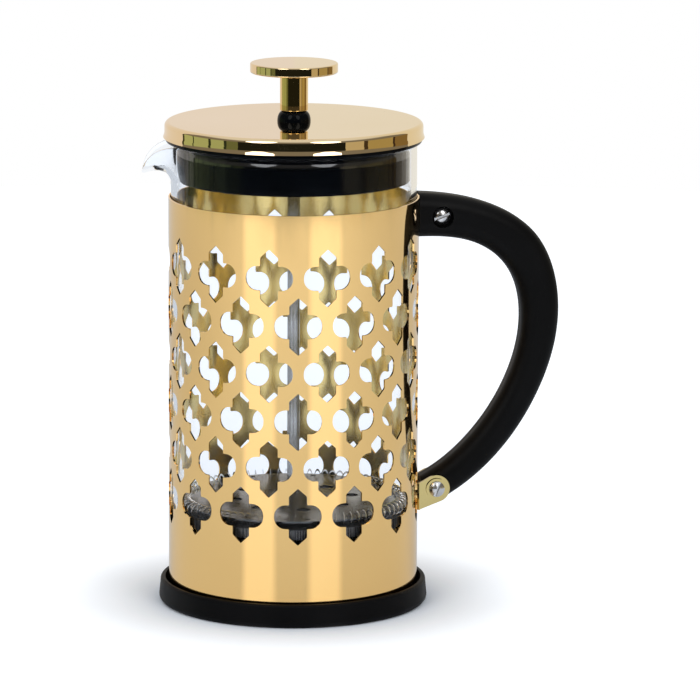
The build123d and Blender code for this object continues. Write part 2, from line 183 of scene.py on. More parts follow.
# Materials
def new_material(name, **values):
    """A Principled material: itself, its tree and its shader."""
    material = bpy.data.materials.new(name)
    material.use_nodes = True
    tree = material.node_tree
    shader = tree.nodes["Principled BSDF"]
    set_inputs(shader, **values)
    return material, tree, shader


def add_group(tree, group, **values):
    node = add_node(tree, "ShaderNodeGroup", node_tree=group)
    set_inputs(node, **values)
    return node


def mix_colours(tree, mask, first, second):
    """A colour between two, by a mask; each colour is a tuple or a socket."""
    mix = add_node(tree, "ShaderNodeMix", data_type="RGBA")
    link(tree, mask, mix.inputs["Factor"])
    for name, colour in (("A", first), ("B", second)):
        socket = next(s for s in mix.inputs if s.name == name and s.type == "RGBA")
        if isinstance(colour, tuple):
            socket.default_value = (*colour, 1)
        else:
            link(tree, colour, socket)
    return next(s for s in mix.outputs if s.type == "RGBA")


def add_bump(tree, shader, height, strength, distance):
    bump = add_node(tree, "ShaderNodeBump")
    set_inputs(bump, Strength=strength, Distance=distance)
    link(tree, height, bump.inputs["Height"])
    link(tree, bump.outputs["Normal"], shader.inputs["Normal"])


RIPPLE_SCALE = 30.0
RIPPLE_STRENGTH = 0.05
PLASTIC_BEND = 1.48
PLASTIC_LIFT = 1.5
GRAIN_STRENGTH = 0.35
LINE_SHADE = 0.82
LINE_STRENGTH = 0.12
LINE_DEPTH = 0.01 * MM
GLASS_TINT = (0.93, 0.945, 0.965, 1)
GLASS_BEND = 1.18
GLASS_HAZE = 0.02
DRAWN_SCALE = 16.0
DRAWN_STRETCH = (1, 1, 0.3)
DRAWN_STRENGTH = 0.05
DRAWN_DEPTH = 0.05 * MM
SHADOW_TINT = (0.96, 0.965, 0.97, 1)
WIRE_PITCH = 1900.0
WIRE_DARK = (0.13, 0.13, 0.135)
WIRE_PALE = (0.20, 0.20, 0.205)
GAP_SHADE_TONE = (0.04, 0.04, 0.045)
GAP_RANGE = (0.3, 0.9)
TONE_RANGE = (0.3, 0.7)
WIRE_ROUGH = (0.42, 0.55)
WEAVE_STRENGTH = 0.6
WEAVE_DEPTH = 0.06 * MM


def gold_material(name, tone, deep_tone, gloss, haze, ripple):
    """Gold-coloured polished sheet: a tone that drifts, soft smears and a hardly visible ripple."""
    material, tree, shader = new_material(name, Metallic=1.0)
    handling = add_group(tree, HANDLING, Scale=14.0, Smear=70.0)
    link(tree, mix_colours(tree, handling.outputs["Tone"], tone, deep_tone), shader.inputs["Base Color"])
    link(tree, remap(tree, handling.outputs["Smear"], 0, 1, gloss, haze), shader.inputs["Roughness"])
    waves = object_noise(tree, RIPPLE_SCALE, 1)
    add_bump(tree, shader, waves, RIPPLE_STRENGTH, ripple)
    return material


def plastic_material(name, tone, rubbed_tone, gloss, haze, grain, depth, shine):
    """Black moulded plastic with a fine grain, paler along rubbed edges."""
    material, tree, shader = new_material(name, IOR=PLASTIC_BEND, Specular_IOR_Level=shine)
    grains = add_group(tree, GRAIN, Grain=grain)
    handling = add_group(tree, HANDLING, Scale=22.0, Smear=60.0)
    wear = add_group(tree, WEAR)
    lifted = tuple(c * PLASTIC_LIFT for c in tone)
    colour = mix_colours(tree, grains.outputs["Tone"], tone, lifted)
    link(tree, mix_colours(tree, wear.outputs["Mask"], colour, rubbed_tone), shader.inputs["Base Color"])
    link(tree, remap(tree, handling.outputs["Smear"], 0, 1, gloss, haze), shader.inputs["Roughness"])
    add_bump(tree, shader, grains.outputs["Height"], GRAIN_STRENGTH, depth)
    return material


def steel_material(name, tone, gloss, haze, stretch, scale):
    """Drawn or rolled stainless steel with fine lines along one direction."""
    material, tree, shader = new_material(name, Metallic=1.0)
    handling = add_group(tree, HANDLING, Scale=40.0, Smear=120.0)
    lines = object_noise(tree, scale, 4, stretch)
    dark = tuple(c * LINE_SHADE for c in tone)
    link(tree, mix_colours(tree, lines, dark, tone), shader.inputs["Base Color"])
    link(tree, remap(tree, handling.outputs["Smear"], 0, 1, gloss, haze), shader.inputs["Roughness"])
    add_bump(tree, shader, lines, LINE_STRENGTH, LINE_DEPTH)
    return material


def mirrored_rays(tree):
    """1 for rays that a shiny surface sends back, 0 for those that glass lets through."""
    path = add_node(tree, "ShaderNodeLightPath")
    return calculate(tree, "SUBTRACT", path.outputs["Is Glossy Ray"], path.outputs["Is Transmission Ray"])


def glass_material():
    """Clear beaker glass with a few faint finger smears."""
    material, tree, shader = new_material(
        "clear_glass", Base_Color=GLASS_TINT, IOR=GLASS_BEND, Transmission_Weight=1.0
    )
    handling = add_group(tree, HANDLING, Scale=20.0, Smear=45.0)
    link(tree, remap(tree, handling.outputs["Smear"], 0, 1, 0, GLASS_HAZE), shader.inputs["Roughness"])
    drawn = object_noise(tree, DRAWN_SCALE, 1, DRAWN_STRETCH)
    add_bump(tree, shader, drawn, DRAWN_STRENGTH, DRAWN_DEPTH)
    path = add_node(tree, "ShaderNodeLightPath")
    clear = add_node(tree, "ShaderNodeBsdfTransparent")
    clear.inputs["Color"].default_value = SHADOW_TINT
    either = add_node(tree, "ShaderNodeMixShader")
    sent_on = calculate(tree, "MAXIMUM", mirrored_rays(tree), path.outputs["Is Diffuse Ray"])
    link(tree, calculate(tree, "MAXIMUM", path.outputs["Is Shadow Ray"], sent_on), either.inputs["Fac"])
    link(tree, shader.outputs["BSDF"], either.inputs[1])
    link(tree, clear.outputs["BSDF"], either.inputs[2])
    link(tree, either.outputs["Shader"], tree.nodes["Material Output"].inputs["Surface"])
    return material


def woven_material():
    """Fine woven steel mesh: two sets of wires that cross, with painted shade in the gaps between."""
    material, tree, shader = new_material("woven_mesh", Metallic=1.0)
    place = add_node(tree, "ShaderNodeTexCoord")
    waves = []
    for axis in ("X", "Y"):
        wave = add_node(tree, "ShaderNodeTexWave", bands_direction=axis, wave_profile="SIN")
        set_inputs(wave, Scale=WIRE_PITCH / TURN, Distortion=0.0)
        link(tree, place.outputs["Object"], wave.inputs["Vector"])
        waves.append(wave.outputs["Fac"])
    over = calculate(tree, "MAXIMUM", *waves)
    tone = object_noise(tree, 60.0, 3)
    wire = mix_colours(tree, tone, WIRE_DARK, WIRE_PALE)
    # Painted shade: the gaps between the wires are coloured dark
    shade = remap(tree, over, *GAP_RANGE, 1, 0)
    link(tree, mix_colours(tree, shade, wire, GAP_SHADE_TONE), shader.inputs["Base Color"])
    link(tree, remap(tree, tone, *TONE_RANGE, *WIRE_ROUGH), shader.inputs["Roughness"])
    add_bump(tree, shader, over, WEAVE_STRENGTH, WEAVE_DEPTH)
    return material


# Gold: tone, deeper tone, roughness where clean and where smeared, depth of the ripple
SLEEVE_GOLD = gold_material("sleeve_gold", (0.95, 0.62, 0.245), (0.92, 0.59, 0.228), 0.05, 0.09, 0.01 * MM)
# The sleeve's inner faces: the same gold in a brighter, yellower tone, painted light for the shaded inside
LIT_INNER_GOLD = gold_material("inner_gold_painted_bright", (1.0, 0.755, 0.30), (0.98, 0.715, 0.26), 0.11, 0.19, 0.03 * MM)
# Brackets and washer: the gold toned down, painted shade for the dark room that their flat faces mirror
SHADED_BRACKET_GOLD = gold_material("bracket_gold_painted_dark", (0.50, 0.41, 0.18), (0.47, 0.38, 0.16), 0.10, 0.16, 0.004 * MM)
MIRROR_GOLD = gold_material("mirror_gold", (0.86, 0.64, 0.31), (0.83, 0.61, 0.28), 0.02, 0.06, 0.004 * MM)
# Lid and knob: a paler gold, a painted reflection of the pale ceiling that their tops mirror
PALE_LIT_LID_GOLD = gold_material("lid_gold_painted_pale", (0.86, 0.685, 0.435), (0.83, 0.65, 0.37), 0.02, 0.06, 0.001 * MM)
# Plastic: tone, tone of rubbed edges, roughness where clean and where smeared, grain, its depth, shine
HANDLE_BLACK = plastic_material(
    "handle_black", (0.0022, 0.0022, 0.0024), (0.011, 0.011, 0.011), 0.42, 0.55, 2200.0, 0.03 * MM, 0.09
)
TRAY_BLACK = plastic_material(
    "tray_black", (0.0018, 0.0018, 0.0022), (0.009, 0.009, 0.010), 0.45, 0.58, 1800.0, 0.04 * MM, 0.08
)
GLOSS_BLACK = plastic_material(
    "gloss_black", (0.0015, 0.002, 0.003), (0.004, 0.004, 0.005), 0.05, 0.10, 900.0, 0.001 * MM, 0.07
)
# The skirt's shoulder: the same gloss black made far more reflective, a painted highlight of the softboxes
HIGHLIGHT_SHOULDER_BLACK = plastic_material(
    "shoulder_black_painted_highlight", (0.0015, 0.002, 0.003), (0.004, 0.004, 0.005), 0.05, 0.10, 900.0, 0.001 * MM, 1.0
)
# Steel: tone, roughness where clean and where smeared, stretch and scale of the fine lines
ROD_STEEL = steel_material("rod_steel", (0.60, 0.60, 0.61), 0.16, 0.28, (1, 1, 0.02), 1400.0)
SCREW_STEEL = steel_material("screw_steel", (0.66, 0.66, 0.67), 0.18, 0.32, (1, 0.2, 1), 900.0)
SPRING_STEEL = steel_material("spring_steel", (0.92, 0.92, 0.93), 0.10, 0.20, (1, 1, 1), 700.0)
PLATE_STEEL = steel_material("plate_steel", (0.14, 0.14, 0.145), 0.14, 0.26, (1, 0.2, 1), 900.0)
GLASS = glass_material()
WOVEN = woven_material()


# Mesh pieces
MERGE = 0.002 * MM
CUT_SLACK = 0.0005 * MM
SEAM_SLACK = 0.001 * MM


def add_piece(name, bm, body, slot, material, *nodes, sharp=32):
    """A finished mesh as an object of the press: it rides on a body and stands for CAD nodes."""
    mesh = bpy.data.meshes.new(name)
    bm.to_mesh(mesh)
    bm.free()
    mesh.polygons.foreach_set("use_smooth", [True] * len(mesh.polygons))
    mesh.set_sharp_from_angle(angle=math.radians(sharp))
    mesh.materials.append(material)
    piece = bpy.data.objects.new(name, mesh)
    bpy.context.collection.objects.link(piece)
    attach(piece, body)
    if nodes:
        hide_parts(*nodes)
    return piece


def flatten_shading(piece):
    """Keeps broad faces flat in their shine, so that only the rounded edges between them turn it."""
    weighted = piece.modifiers.new("flat_faces", "WEIGHTED_NORMAL")
    weighted.mode = "FACE_AREA"
    weighted.keep_sharp = True
    return piece


def refinish(piece, material, chosen):
    """Gives the chosen faces of a piece a finish of their own."""
    piece.data.materials.append(material)
    for polygon in piece.data.polygons:
        if chosen(polygon):
            polygon.material_index = len(piece.data.materials) - 1


def round_corners(bm, corners, steps=CORNER_STEPS):
    """Rounds the given corners of a flat face; corners pairs a vertex with its radius."""
    for corner, radius in corners:
        bmesh.ops.bevel(
            bm, geom=[corner], offset=radius, offset_type="OFFSET", segments=steps, profile=0.5,
            affect="VERTICES", material=-1,
        )


def add_outline(bm, points):
    """A closed flat outline in the XZ plane, from (x, z) or (x, z, corner radius) points."""
    corners = [bm.verts.new((point[0], 0, point[1])) for point in points]
    bm.faces.new(corners)
    round_corners(bm, [(v, p[2]) for v, p in zip(corners, points) if len(p) > 2])
    bmesh.ops.delete(bm, geom=bm.faces[:], context="FACES_ONLY")


def close_mesh(bm):
    bmesh.ops.remove_doubles(bm, verts=bm.verts[:], dist=MERGE)
    bmesh.ops.recalc_face_normals(bm, faces=bm.faces[:])


def turned_mesh(points, steps=ROUND_STEPS):
    """A closed outline turned about Z."""
    bm = bmesh.new()
    add_outline(bm, points)
    bmesh.ops.spin(
        bm, geom=bm.verts[:] + bm.edges[:], cent=(0, 0, 0), axis=(0, 0, 1), angle=TURN, steps=steps,
        use_merge=True,
    )
    close_mesh(bm)
    return bm


# Sleeve: a sheet pierced in a pattern of crosses
HOLE_COLUMNS = 13
COLUMN_STEP = math.radians(26.6)
PATTERN_TURN = math.radians(2.4)
HOLE_ROWS = 6
LOWEST_ROW = 41.7 * MM
ROW_PITCH = 19.4 * MM
SHEET = 0.7 * MM
LOBE = (9.65 * MM, 4.9 * MM)
LOBE_ROUND = 4.6 * MM
BAR = (3.65 * MM, 11.7 * MM)
GABLE = 3.3 * MM
STAMP_ROUND = 0.35 * MM
STRIP_WIDTH = 2.0 * MM
LEVEL = Vector((1, 1, 0))
SHEET_FACING = 0.9
INWARD = 0.5


def add_hole(bm, x, z):
    """One cross with round lobes at its sides and gabled ends above and below."""
    half = [
        (LOBE[0], LOBE[1], LOBE_ROUND), (BAR[0], LOBE[1], STAMP_ROUND), (BAR[0], BAR[1] - GABLE, STAMP_ROUND),
        (0, BAR[1], STAMP_ROUND), (-BAR[0], BAR[1] - GABLE, STAMP_ROUND), (-BAR[0], LOBE[1], STAMP_ROUND),
        (-LOBE[0], LOBE[1], LOBE_ROUND),
    ]
    whole = half + [(-px, -pz, radius) for px, pz, radius in half]
    add_outline(bm, [(x + px, z + pz, radius) for px, pz, radius in whole])


def cut_sheet(bm, x, **clear):
    """Cuts all that lies flat in the XZ plane along an upright line."""
    bmesh.ops.bisect_plane(
        bm, geom=bm.verts[:] + bm.edges[:] + bm.faces[:], dist=CUT_SLACK, plane_co=(x, 0, 0),
        plane_no=(1, 0, 0), **clear,
    )


def join_seam(bm, x):
    """Closes the outline of one column along its seam, between the half holes."""
    ends = sorted((v for v in bm.verts if abs(v.co.x - x) < SEAM_SLACK), key=lambda v: v.co.z)
    for low, high in zip(ends[::2], ends[1::2]):
        bm.edges.new((low, high))


def flat_strip(width, middle_holes):
    """A flat strip of the pattern: half holes of the full rows at its edges, other rows in its middle."""
    bm = bmesh.new()
    for row in range(HOLE_ROWS):
        level = SLEEVE_BOTTOM + LOWEST_ROW + row * ROW_PITCH
        if row % 2 == 0:
            add_hole(bm, -width / 2, level)
            add_hole(bm, width / 2, level)
        elif middle_holes:
            add_hole(bm, 0, level)
    low, high = SLEEVE_BOTTOM, SLEEVE_TOP
    add_outline(bm, [(-width, low), (width, low), (width, high), (-width, high)])
    cut_sheet(bm, -width / 2, clear_inner=True)
    cut_sheet(bm, width / 2, clear_outer=True)
    join_seam(bm, -width / 2)
    join_seam(bm, width / 2)
    bmesh.ops.triangle_fill(bm, use_beauty=True, use_dissolve=False, edges=bm.edges[:])
    strips = round(width / STRIP_WIDTH)
    for strip in range(1, strips):
        cut_sheet(bm, (strip / strips - 0.5) * width)
    return bm


def roll_strip(bm, bearing):
    """Rolls a flat strip to the sleeve's radius, its middle at a bearing."""
    for vert in bm.verts:
        angle = bearing + vert.co.x / SLEEVE_R
        vert.co = (SLEEVE_R * math.cos(angle), SLEEVE_R * math.sin(angle), vert.co.z)


def make_sleeve():
    """One column of the pattern repeated round the axis, closed by a plain strip behind the handle."""
    columns = HOLE_COLUMNS - 1
    bm = flat_strip(COLUMN_STEP * SLEEVE_R, True)
    roll_strip(bm, TURN / 2 + PATTERN_TURN - COLUMN_STEP * (columns - 1) / 2)
    bmesh.ops.spin(
        bm, geom=bm.verts[:] + bm.edges[:] + bm.faces[:], cent=(0, 0, 0), axis=(0, 0, 1),
        angle=COLUMN_STEP * (columns - 1), steps=columns - 1, use_duplicate=True,
    )
    plain = flat_strip((TURN - COLUMN_STEP * columns) * SLEEVE_R, False)
    roll_strip(plain, PATTERN_TURN)
    held = bpy.data.meshes.new("plain_strip")
    plain.to_mesh(held)
    plain.free()
    bm.from_mesh(held)
    bpy.data.meshes.remove(held)
    bmesh.ops.remove_doubles(bm, verts=bm.verts[:], dist=MERGE)
    for face in bm.faces:
        middle = face.calc_center_median()
        if face.normal.dot(Vector((middle.x, middle.y, 0))) < 0:
            face.normal_flip()
    bmesh.ops.solidify(bm, geom=bm.faces[:], thickness=SHEET)
    return bm


def roll_normals(piece):
    """Gives a rolled sheet the normals of a true cylinder, and flat ones across its edges."""
    mesh = piece.data
    normals = []
    for polygon in mesh.polygons:
        for index in polygon.vertices:
            out = (mesh.vertices[index].co * LEVEL).normalized()
            facing = polygon.normal.dot(out)
            on_sheet = abs(facing) > SHEET_FACING
            normals.append(out * math.copysign(1, facing) if on_sheet else polygon.normal)
    mesh.normals_split_custom_set(normals)


def faces_axis(polygon):
    return polygon.normal.dot(polygon.center * LEVEL) < -INWARD * SLEEVE_R


sleeve = add_piece("sleeve_sheet", make_sleeve(), "frame", "gold", SLEEVE_GOLD, "sleeve")
# Faces towards the axis take the brightened gold: painted light inside the sleeve
refinish(sleeve, LIT_INNER_GOLD, faces_axis)
roll_normals(sleeve)

# Lid, knob and rod
COVER_SHEET = 0.7 * MM
COVER_ROUND = 1.8 * MM
NECK_R = 4.7 * MM
LIP_FLARE = 0.26 * MM
LIP_RAISE = 0.7 * MM
LIP_HEIGHT = 1.5 * MM
LIP_ROUND = 0.9 * MM
LIP_BOTTOM = COVER_BOTTOM + LIP_RAISE
LIP_TOP = LIP_BOTTOM + LIP_HEIGHT
LIP_R = COVER_R + LIP_FLARE
WALL_R = COVER_R - LIP_FLARE
COVER_UNDER = COVER_TOP - COVER_SHEET
KNOB_ROUND = 0.6 * MM
STEM_ROUND = 0.4 * MM
ROD_ROUND = 0.3 * MM
ROD_STEPS = 64

cover = turned_mesh([
    (NECK_R, COVER_TOP), (WALL_R, COVER_TOP, COVER_ROUND), (WALL_R, LIP_TOP, LIP_ROUND),
    (LIP_R, LIP_BOTTOM), (LIP_R - COVER_SHEET, LIP_BOTTOM), (WALL_R - COVER_SHEET, LIP_TOP, LIP_ROUND),
    (WALL_R - COVER_SHEET, COVER_UNDER, COVER_ROUND - COVER_SHEET), (NECK_R, COVER_UNDER),
])
flatten_shading(add_piece("lid_cap", cover, "lid", "gold", PALE_LIT_LID_GOLD, "lid_cover"))

knob = turned_mesh([
    (0, KNOB_BOTTOM), (KNOB_R, KNOB_BOTTOM, KNOB_ROUND), (KNOB_R, KNOB_TOP, KNOB_ROUND), (0, KNOB_TOP),
])
flatten_shading(add_piece("knob_plate", knob, "plunger", "gold", PALE_LIT_LID_GOLD, "knob_disc"))

stem = turned_mesh([
    (ROD_R, STEM_BOTTOM), (STEM_R, STEM_BOTTOM, STEM_ROUND), (STEM_R, KNOB_BOTTOM), (ROD_R, KNOB_BOTTOM),
])
flatten_shading(add_piece("knob_column", stem, "plunger", "gold", MIRROR_GOLD, "knob_stem"))

rod = turned_mesh([
    (0, ROD_BOTTOM), (ROD_R, ROD_BOTTOM, ROD_ROUND), (ROD_R, ROD_TOP), (0, ROD_TOP),
], ROD_STEPS)
flatten_shading(add_piece("rod_bar", rod, "plunger", "steel", ROD_STEEL, "plunger_rod"))

SKIRT_GAP = 0.7 * MM
SKIRT_WALL = 2.2 * MM
SKIRT_ROUND = 0.9 * MM
SKIRT_INNER_ROUND = 0.5 * MM
SKIRT_ROOF_ROUND = 1.0 * MM
SHOULDER = 2.1 * MM
SHOULDER_ROUND = 1.36 * SHOULDER
SHOULDER_REACH = 1.1 * SHOULDER
SHOULDER_SLOPE = (0.03, 0.95)
DECK = 2.2 * MM
DECK_ROUND = 0.3 * MM
FLANGE_ROUND = 0.4 * MM
GLASS_WALL = 2.2 * MM
GLASS_FLOOR = 3.0 * MM
BORE_R = BEAKER_R - GLASS_WALL
SKIRT_R = BORE_R - SKIRT_GAP
SKIRT_BORE = SKIRT_R - SKIRT_WALL

insert = turned_mesh([
    (NECK_R, RIM), (SKIRT_BORE, RIM, SKIRT_ROOF_ROUND), (SKIRT_BORE, SKIRT_BOTTOM, SKIRT_INNER_ROUND),
    (SKIRT_R, SKIRT_BOTTOM, SKIRT_ROUND), (SKIRT_R, RIM - SHOULDER, SHOULDER_ROUND),
    (SKIRT_R - SHOULDER, RIM), (FLANGE_R, RIM, FLANGE_ROUND), (FLANGE_R, RIM + DECK, DECK_ROUND),
    (NECK_R, RIM + DECK),
])
skirt = add_piece("lid_skirt", insert, "lid", "gloss_black", GLOSS_BLACK, "lid_insert")
flatten_shading(skirt)


def on_shoulder(polygon):
    outside = polygon.center.xy.length > SKIRT_R - SHOULDER_REACH
    sloped = SHOULDER_SLOPE[0] < polygon.normal.z < SHOULDER_SLOPE[1]
    return polygon.center.z < RIM and outside and sloped


# The shoulder's faces take the over-shiny black: painted highlight
refinish(skirt, HIGHLIGHT_SHOULDER_BLACK, on_shoulder)

# Beaker: turned glass, its rim drawn out into a pouring lip on the -X side
FOOT_ROUND = 9.0 * MM
SPOUT_DEPTH = 16.0 * MM
SPOUT_HALF_WIDTH = 17.0 * MM
SPOUT_DROP = 12.0 * MM
SPOUT_REACH = SPOUT_TIP - BEAKER_R
SPOUT_CURVE = 1.25
DROP_START = 0.2
DROP_CURVE = 1.4
RIM_ROUND = 1.0 * MM
WALL_ROWS = 16
GLASS_STEPS = 288
GLASS_SHARP = 60


def ease(share):
    share = min(max(share, 0.0), 1.0)
    return share * share * (3 - 2 * share)


def drawn_wall(bearing, z):
    """Where the outside of the wall lies at a bearing and a height, once its rim is drawn out."""
    x = BEAKER_R * math.cos(bearing)
    y = BEAKER_R * math.sin(bearing)
    across = ease(1 - abs(y) / SPOUT_HALF_WIDTH) if x < 0 else 0
    up = min(max((z - RIM + SPOUT_DEPTH) / SPOUT_DEPTH, 0), 1)
    dropping = max(0, (up - DROP_START) / (1 - DROP_START)) ** DROP_CURVE
    fall = dropping * (1 - math.sqrt(1 - across * across))
    return Vector((x - SPOUT_REACH * across * up ** SPOUT_CURVE, y, z - SPOUT_DROP * fall))


def draw_spout(bm):
    """Draws out the rim; the inside of the wall stays parallel to its outside."""
    nudge = 0.02 * MM
    for vert in bm.verts:
        if vert.co.z > RIM - SPOUT_DEPTH - nudge and vert.co.x < 0:
            bearing = math.atan2(vert.co.y, vert.co.x)
            depth = BEAKER_R - vert.co.xy.length
            place = drawn_wall(bearing, vert.co.z)
            along = drawn_wall(bearing + nudge / BEAKER_R, vert.co.z) - place
            upward = place - drawn_wall(bearing, vert.co.z - nudge)
            vert.co = place - depth * along.cross(upward).normalized()


def make_beaker():
    inner_floor = BEAKER_BOTTOM + GLASS_FLOOR
    rows = [RIM - SPOUT_DEPTH * (1 - row / WALL_ROWS) for row in range(WALL_ROWS)]
    bm = turned_mesh(
        [(0, BEAKER_BOTTOM), (BEAKER_R, BEAKER_BOTTOM, FOOT_ROUND)]
        + [(BEAKER_R, z) for z in rows]
        + [(BEAKER_R, RIM, RIM_ROUND), (BORE_R, RIM, RIM_ROUND)]
        + [(BORE_R, z) for z in reversed(rows)]
        + [(BORE_R, inner_floor, FOOT_ROUND - GLASS_WALL), (0, inner_floor)],
        GLASS_STEPS,
    )
    draw_spout(bm)
    return bm


add_piece("beaker_glass", make_beaker(), "beaker", "glass", GLASS, "beaker", sharp=GLASS_SHARP)

# Filter: a coil of wire round the plate
WIRE_R = 0.42 * MM
COIL_R = 2.4 * MM
COILS = 84
WIRE_SIDES = 8
WIRE_SHARP = 80
COIL_STEPS = 16
SPRING_GAP = 0.3 * MM
SPRING_R = BORE_R - SPRING_GAP - WIRE_R - COIL_R
FILTER_HEIGHT = (PLATE_BOTTOM + PLATE_TOP) / 2
SPRING_OPENING = 4.0 * MM


def make_spring():
    """A straight screw of wire along X, then bent into a ring round the axis."""
    bm = bmesh.new()
    start = Matrix.Translation((0, COIL_R, 0)) @ Matrix.Rotation(TURN / 4, 4, "Y")
    bmesh.ops.create_circle(bm, segments=WIRE_SIDES, radius=WIRE_R, matrix=start)
    length = TURN * SPRING_R - SPRING_OPENING
    steps = COILS * COIL_STEPS
    bmesh.ops.spin(
        bm, geom=bm.verts[:] + bm.edges[:], cent=(0, 0, 0), axis=(1, 0, 0), angle=TURN * COILS, steps=steps,
        dvec=(length / steps, 0, 0),
    )
    bmesh.ops.holes_fill(bm, edges=bm.edges[:], sides=WIRE_SIDES)
    close_mesh(bm)
    for vert in bm.verts:
        bearing = (vert.co.x + SPRING_OPENING / 2) / SPRING_R
        reach = SPRING_R + vert.co.y
        vert.co = (reach * math.cos(bearing), reach * math.sin(bearing), FILTER_HEIGHT + vert.co.z)
    return bm


add_piece("coil_spring", make_spring(), "plunger", "steel", SPRING_STEEL, "filter_spring", sharp=WIRE_SHARP)

# CAD nodes that keep their shape
FINISHES = {
    "base_tray": TRAY_BLACK, "handle": HANDLE_BLACK, "lid_bush": GLOSS_BLACK, "bush_retainer": TRAY_BLACK,
    "upper_bracket": SHADED_BRACKET_GOLD, "lower_bracket": SHADED_BRACKET_GOLD, "lower_washer": SHADED_BRACKET_GOLD,
    "upper_screw": SCREW_STEEL, "upper_nut": SCREW_STEEL, "lower_screw": SCREW_STEEL,
    "lower_nut": SCREW_STEEL, "rod_collar": SCREW_STEEL, "filter_nut": SCREW_STEEL,
    "spring_plate": PLATE_STEEL, "cross_plate": PLATE_STEEL, "mesh_screen": WOVEN,
}
for node, finish in FINISHES.items():
    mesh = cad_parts[node].data
    mesh.materials.clear()
    mesh.materials.append(finish)

# Camera, lights, floor and backdrop
CAMERA_BEARING = math.radians(-10)
CAMERA_DISTANCE = 2.096
CAMERA_HEIGHT = 0.507
CAMERA_LENS = 268.7
CAMERA_ROLL = math.radians(0.25)
AIM_RIGHT = 0.0231
AIM_HEIGHT = 0.1038
SENSOR = 36
FARTHEST = 20


def make_camera():
    data = bpy.data.cameras.new("camera")
    data.lens = CAMERA_LENS
    data.sensor_width = SENSOR
    data.clip_end = FARTHEST
    camera = bpy.data.objects.new("camera", data)
    bpy.context.collection.objects.link(camera)
    right = Vector((math.cos(CAMERA_BEARING), math.sin(CAMERA_BEARING), 0))
    back = Vector((math.sin(CAMERA_BEARING), -math.cos(CAMERA_BEARING), 0))
    camera.location = back * CAMERA_DISTANCE + Vector((0, 0, CAMERA_HEIGHT))
    aim = right * AIM_RIGHT + Vector((0, 0, AIM_HEIGHT))
    camera.rotation_mode = "QUATERNION"
    level = (aim - camera.location).to_track_quat("-Z", "Y")
    camera.rotation_quaternion = level @ Quaternion((0, 0, 1), CAMERA_ROLL)
    bpy.context.scene.camera = camera


# Stage: the table, its painted pools of lamp light and the soft lamps
AMBIENT = 0.62
TABLE_R = 1.08
TABLE_SIDES = 96
TABLE_PAINT = (0.83, 0.885, 0.96, 1)
FAR_TABLE = (0.16, 0.56)
TABLE_LIFT = 0.45
FAR_TABLE_LIFT = 0.6
CONTACT_SHADE = 45 * MM
THROUGH_DIM = 0.1
MIRROR_LIFT = 0.08
MIRROR_REACH = (0.6, 1.04)
POOL_INNER = math.radians(8.05)
POOL_OUTER = math.radians(22.6)
POOL_SOFT = 0.045
POOL_SHIFT = math.radians(-0.8)
POOL_GLOW = 0.37
LAMP_SIDES = 8
LAMP_DISTANCE = 1.3
LAMP_HEIGHT = 1.0
LAMP_TALL = 1.15
LAMP_GLOW = 3.4
LAMP_AIM = 0.11
# The studio's walls as polished metal shows them: the colour from each bearing on, in degrees from the
# camera's side
WALLS = [
    (-180, (0.85, 0.78, 0.72)), (-118, (0.05, 0.05, 0.02)), (-115, (0.45, 0.52, 0.25)),
    (-102, (0.04, 0.05, 0.02)), (-100, (0.42, 0.49, 0.24)), (-82, (0.03, 0.04, 0.02)),
    (-80, (0.40, 0.47, 0.23)), (-66, (0.03, 0.04, 0.02)), (-62, (0.15, 0.17, 0.07)),
    (-52, (0.015, 0.015, 0.01)), (46, (0.55, 0.46, 0.28)), (64, (0.06, 0.04, 0.02)),
    (68, (0.42, 0.33, 0.14)), (98, (0.05, 0.03, 0.02)), (101, (0.24, 0.16, 0.06)),
    (120, (0.85, 0.80, 0.70)),
]
HIGH_WALLS = [(-180, (0.85, 0.78, 0.72)), (-118, (0.22, 0.20, 0.17)), (120, (0.85, 0.80, 0.70))]
HIGH_WALLS_FROM = (0.13, 0.18)
CEILING = (0.8, 0.8, 0.8)
CEILING_FROM = (0.6, 0.8)
THROUGH_GLASS = (0.98, 0.99, 1.0)
BACKDROP = (1, 1, 1)


def wall_ramp(tree, share, walls):
    """The walls' colour at a share of the full turn."""
    ramp = add_node(tree, "ShaderNodeValToRGB")
    ramp.color_ramp.interpolation = "CONSTANT"
    stops = ramp.color_ramp.elements
    for number, (start, colour) in enumerate(walls):
        stop = stops[0] if number == 0 else stops.new(0.5 + start / 360)
        stop.position = 0.5 + start / 360
        stop.color = (*colour, 1)
    stops.remove(stops[len(stops) - 1])
    link(tree, share, ramp.inputs["Fac"])
    return ramp.outputs["Color"]


def make_world():
    """The room: what mirrors, glass, plain surfaces and the camera each see round the table."""
    world = bpy.data.worlds.new("studio")
    bpy.context.scene.world = world
    world.use_nodes = True
    tree = world.node_tree
    shader = tree.nodes["Background"]
    way = add_node(tree, "ShaderNodeSeparateXYZ")
    link(tree, add_node(tree, "ShaderNodeTexCoord").outputs["Generated"], way.inputs["Vector"])
    bearing = calculate(tree, "ARCTAN2", way.outputs["X"], calculate(tree, "MULTIPLY", way.outputs["Y"], -1))
    turned = calculate(tree, "ADD", calculate(tree, "DIVIDE", bearing, TURN), 0.5 - CAMERA_BEARING / TURN)
    round_share = calculate(tree, "FRACT", turned)
    upper = remap(tree, way.outputs["Z"], *HIGH_WALLS_FROM, 0, 1)
    low_walls = wall_ramp(tree, round_share, WALLS)
    walls = mix_colours(tree, upper, low_walls, wall_ramp(tree, round_share, HIGH_WALLS))
    room = mix_colours(tree, remap(tree, way.outputs["Z"], *CEILING_FROM, 0, 1), walls, CEILING)
    path = add_node(tree, "ShaderNodeLightPath")
    mirrored = mix_colours(tree, path.outputs["Is Glossy Ray"], (AMBIENT, AMBIENT, AMBIENT), room)
    soft = mix_colours(tree, path.outputs["Is Transmission Ray"], mirrored, THROUGH_GLASS)
    link(tree, mix_colours(tree, path.outputs["Is Camera Ray"], soft, BACKDROP), shader.inputs["Color"])


